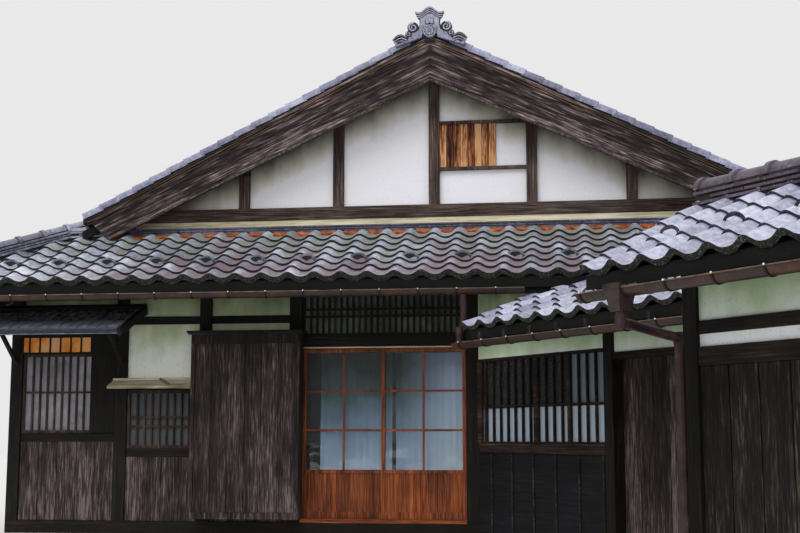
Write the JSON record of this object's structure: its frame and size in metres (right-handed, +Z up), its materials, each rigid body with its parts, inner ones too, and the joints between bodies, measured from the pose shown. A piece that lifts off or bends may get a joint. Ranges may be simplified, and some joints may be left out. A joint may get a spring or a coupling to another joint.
{
  "type": "timber country house with hip-and-gable tiled roof, angled wing and annex",
  "caption": "Single-storey timber and plaster house with a hip-and-gable tiled roof, sliding glazed doors, lattice windows and an angled wing.",
  "frame": {"origin": "on the ground below the outer face of the main front, at the middle of that front", "axes": "+X to the right along the main front, +Y into the house, +Z up"},
  "size_m": [12.2612, 16.8445, 6.0145],
  "materials": {
    "footing_stone": "rough concrete footing",
    "dark_timber": "weathered dark timber",
    "floor_boards": "plain boards",
    "floor_screed": "beaten floor",
    "plaster": "lime plaster, stained green near the top",
    "weathered_boards": "grey-brown weathered boards",
    "honey_boards": "honey-coloured boards",
    "door_timber": "red-brown varnished frame",
    "window_glass": "clear and frosted panes",
    "curtain_cloth": "pale hung cloth",
    "roof_tile": "smoked clay tiles with patina",
    "gutter_metal": "brown painted metal"
  },
  "bodies": {
    "house": {"foundation": "footing_stone", "sill_beams": "dark_timber", "main_floor": "floor_boards", "front_posts": "dark_timber", "side_posts": "dark_timber", "back_posts": "dark_timber", "wall_plates": "dark_timber", "front_rails": "dark_timber", "side_rails": "dark_timber", "front_plaster": "plaster", "side_plaster": "plaster", "back_plaster": "plaster", "front_boards": "weathered_boards", "side_boards": "weathered_boards", "side_lattices": "dark_timber", "side_glass": "window_glass", "front_lattices": "dark_timber", "front_glass": "window_glass", "window_hoods": "weathered_boards", "shutter_box": "weathered_boards", "door_frame": "door_timber", "transom_lattice": "dark_timber", "transom_panel": "window_glass", "curtains": "curtain_cloth", "rafters": "dark_timber", "eave_boards": "dark_timber", "front_roof": "roof_tile", "back_roof": "roof_tile", "left_roof": "roof_tile", "right_roof": "roof_tile", "roof_beams": "dark_timber", "gable_frames": "dark_timber", "gable_plaster": "plaster", "gable_shutter": "honey_boards", "bargeboards": "dark_timber", "verge_tiles": "roof_tile", "main_ridge": "roof_tile", "ridge_ornaments": "roof_tile", "hip_ridges": "roof_tile", "wall_tiles": "roof_tile", "gutters": "gutter_metal", "gutter_brackets": "gutter_metal", "downpipes": "gutter_metal", "wing_sills": "dark_timber", "wing_posts": "dark_timber", "wing_plates": "dark_timber", "wing_plaster": "plaster", "wing_boards": "weathered_boards", "wing_walls": "plaster", "wing_lattices": "dark_timber", "wing_glass": "window_glass", "wing_floor": "floor_screed", "wing_roof": "roof_tile", "annex_roof": "roof_tile", "wing_ridges": "roof_tile"},
    "left_leaf": {"left_leaf_frame": "door_timber", "left_leaf_glass": "window_glass"},
    "right_leaf": {"right_leaf_frame": "door_timber", "right_leaf_glass": "window_glass"},
    "boarded_door": {"wing_door": "weathered_boards"}
  },
  "joints": [
    {"name": "left_leaf_slide", "type": "slide", "parent": "house", "child": "left_leaf", "axis": [1, 0, 0], "range_m": [0, 0.84]},
    {"name": "right_leaf_slide", "type": "slide", "parent": "house", "child": "right_leaf", "axis": [-1, 0, 0], "range_m": [0, 0.84]},
    {"name": "boarded_door_slide", "type": "slide", "parent": "house", "child": "boarded_door", "axis": [0.6252, -0.7804, 0], "range_m": [0, 1.1]}
  ]
}
